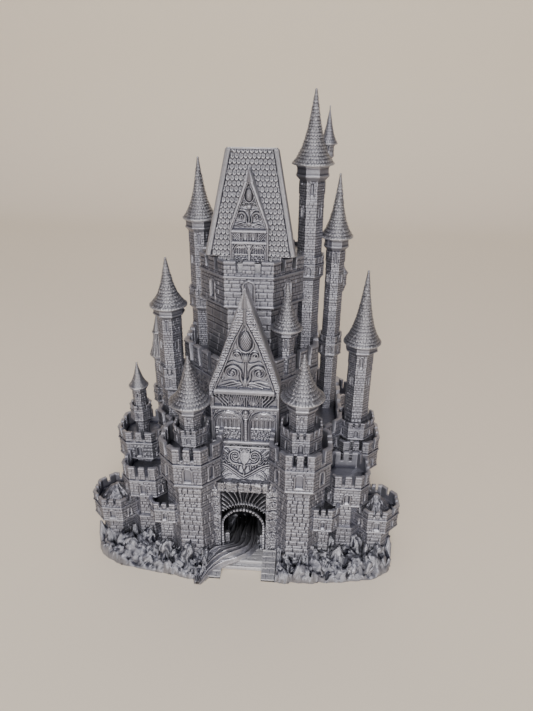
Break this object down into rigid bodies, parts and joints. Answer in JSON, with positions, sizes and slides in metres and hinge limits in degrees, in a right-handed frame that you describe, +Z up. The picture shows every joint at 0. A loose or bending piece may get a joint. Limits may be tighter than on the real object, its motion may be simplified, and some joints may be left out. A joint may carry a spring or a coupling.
{
  "type": "dice tower",
  "caption": "Castle dice tower: open-topped tiled keep roof as inlet, baffled drop shaft, ramp out through a gatehouse arch, ringed by slim cone-roofed turrets on a rock base.",
  "frame": {"origin": "centre of the footprint on the table plane (the flat underside of the rock base)", "axes": "+Z up; the gate faces -Y; +X is to the right when looking at the gate"},
  "size_m": [0.184, 0.14, 0.256],
  "materials": {
    "masonry": "satin, silver silk filament, 3D-printed layer lines",
    "roof": "satin, silver silk filament, 3D-printed layer lines",
    "ornament": "satin, silver silk filament, 3D-printed layer lines",
    "rock": "satin, silver silk filament, 3D-printed layer lines",
    "runner": "satin, silver silk filament, long soft folds",
    "inside": "satin, silver silk filament"
  },
  "bodies": {
    "root": {"baffle_lower": "inside", "baffle_middle": "inside", "baffle_upper": "inside", "corner_spire": "roof", "corner_turret": "masonry", "draped_runner": "runner", "entrance_steps": "masonry", "exit_ramp": "inside", "front_dormer": "ornament", "gable_front": "ornament", "gable_spire": "roof", "gable_turret": "masonry", "gate_lintel": "ornament", "gate_spire_left": "roof", "gate_spire_right": "roof", "gate_tower_left": "masonry", "gate_tower_right": "masonry", "gate_turret_left": "masonry", "gate_turret_right": "masonry", "gatehouse": "masonry", "keep_crown": "masonry", "keep_roof": "roof", "keep_wall": "masonry", "left_rear_spire": "roof", "left_rear_turret": "masonry", "left_spire": "roof", "left_tower": "masonry", "lower_ward": "masonry", "mid_ward": "masonry", "middle_bastion_left": "masonry", "middle_bastion_right": "masonry", "outer_bastion_left": "masonry", "outer_bastion_right": "masonry", "rear_bastion_left": "masonry", "rear_bastion_right": "masonry", "rear_dormer": "ornament", "rear_left_spire": "roof", "rear_left_tower": "masonry", "right_spire": "roof", "right_tower": "masonry", "rock_base": "rock", "shield_panel": "ornament", "side_bastion_left": "masonry", "side_bastion_right": "masonry", "slender_bartizan": "masonry", "slender_spire": "roof", "slender_tower": "masonry", "small_bastion_left": "masonry", "small_bastion_right": "masonry", "tall_bartizan": "masonry", "tall_spire": "roof", "tall_tower": "masonry", "window_screen": "ornament"}
  },
  "joints": []
}
